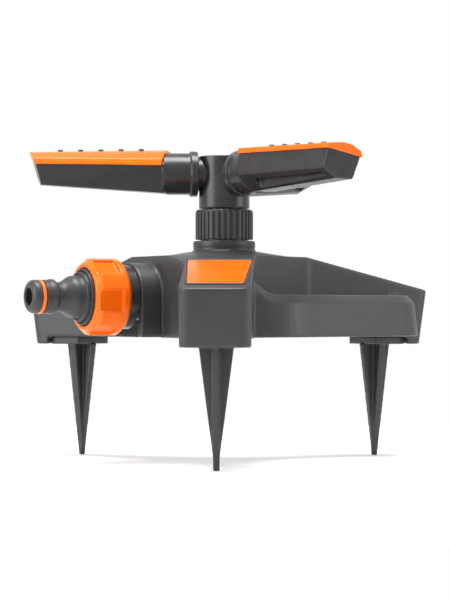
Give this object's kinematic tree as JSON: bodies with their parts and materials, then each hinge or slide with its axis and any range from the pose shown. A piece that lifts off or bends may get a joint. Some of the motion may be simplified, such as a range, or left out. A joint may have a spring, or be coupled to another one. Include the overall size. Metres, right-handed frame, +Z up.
{
  "type": "rotary garden sprinkler",
  "caption": "Low rotary lawn sprinkler with ground spikes, a carrying handle, a side hose inlet and tilting spray arms on a ribbed swivel tower.",
  "frame": {"origin": "centre of the part's footprint at the height of the spike tips; the swivel axis stands 9.4 mm behind it in +Y", "axes": "+Z up along the swivel axis; -Y points out along the leg with the badge; +X is to that leg's right as seen from the front, on the carrying handle's side"},
  "size_m": [0.2154, 0.2142, 0.1632],
  "materials": {
    "grey_plastic": "satin",
    "orange_plastic": "gloss",
    "orange_rubber": "satin",
    "black_rubber": "matte",
    "nozzle_rubber": "matte",
    "white_plastic": "satin",
    "steel": "brushed"
  },
  "bodies": {
    "base": {"base_shell": "grey_plastic", "badge_plate": "orange_plastic", "pipe_elbow": "grey_plastic", "elbow_screws": "steel", "inlet_filter": "white_plastic", "riser_seal": "black_rubber", "bearing_bush": "white_plastic", "spike_front": "grey_plastic", "spike_right": "grey_plastic", "spike_left": "grey_plastic"},
    "connector": {"hose_connector": "grey_plastic", "nose_ring": "orange_rubber", "inlet_washer": "black_rubber"},
    "nut": {"union_nut": "orange_plastic"},
    "carrier": {"thrust_washer": "white_plastic"},
    "collar": {"lock_collar": "grey_plastic"},
    "head": {"spindle": "grey_plastic", "hub": "grey_plastic", "arm_seal_a": "black_rubber", "arm_seal_b": "black_rubber", "arm_seal_c": "black_rubber"},
    "arm_a": {"arm_a": "grey_plastic", "cover_a": "orange_plastic", "nozzles_a": "nozzle_rubber"},
    "arm_b": {"arm_b": "grey_plastic", "cover_b": "orange_plastic", "nozzles_b": "nozzle_rubber"},
    "arm_c": {"arm_c": "grey_plastic", "cover_c": "orange_plastic", "nozzles_c": "nozzle_rubber"}
  },
  "joints": [
    {"name": "head_lift", "type": "slide", "parent": "base", "child": "carrier", "axis": [0, 0, 1], "range_m": [0, 0.004]},
    {"name": "collar_turn", "type": "hinge", "parent": "carrier", "child": "collar", "pos_m": [0, 0.0094, 0.1234], "axis": [0, 0, 1], "range_deg": [0, 720.5]},
    {"name": "head_spin", "type": "hinge", "parent": "carrier", "child": "head", "pos_m": [0, 0.0094, 0.1404], "axis": [0, 0, 1], "continuous": true},
    {"name": "connector_travel", "type": "slide", "parent": "base", "child": "connector", "axis": [-0.866, -0.5, 0], "range_m": [0, 0.00544]},
    {"name": "nut_turn", "type": "hinge", "parent": "connector", "child": "nut", "pos_m": [-0.06235, -0.0266, 0.0854], "axis": [-0.866, -0.5, 0], "range_deg": [0, 1080]},
    {"name": "arm_a_tilt", "type": "hinge", "parent": "head", "child": "arm_a", "pos_m": [0.00792, 0.02993, 0.15], "axis": [0.36, 0.933, 0], "range_deg": [-25, 25]},
    {"name": "arm_b_tilt", "type": "hinge", "parent": "head", "child": "arm_b", "pos_m": [-0.02174, 0.006, 0.15], "axis": [-0.988, -0.1547, 0], "range_deg": [-25, 25]},
    {"name": "arm_c_tilt", "type": "hinge", "parent": "head", "child": "arm_c", "pos_m": [0.01381, -0.00772, 0.15], "axis": [0.628, -0.7782, 0], "range_deg": [-25, 25]}
  ],
  "couplings": [
    {"joint": "collar_turn", "follows": "head_lift", "rad_per_m": 3141.6},
    {"joint": "nut_turn", "follows": "connector_travel", "rad_per_m": 3463.7}
  ]
}
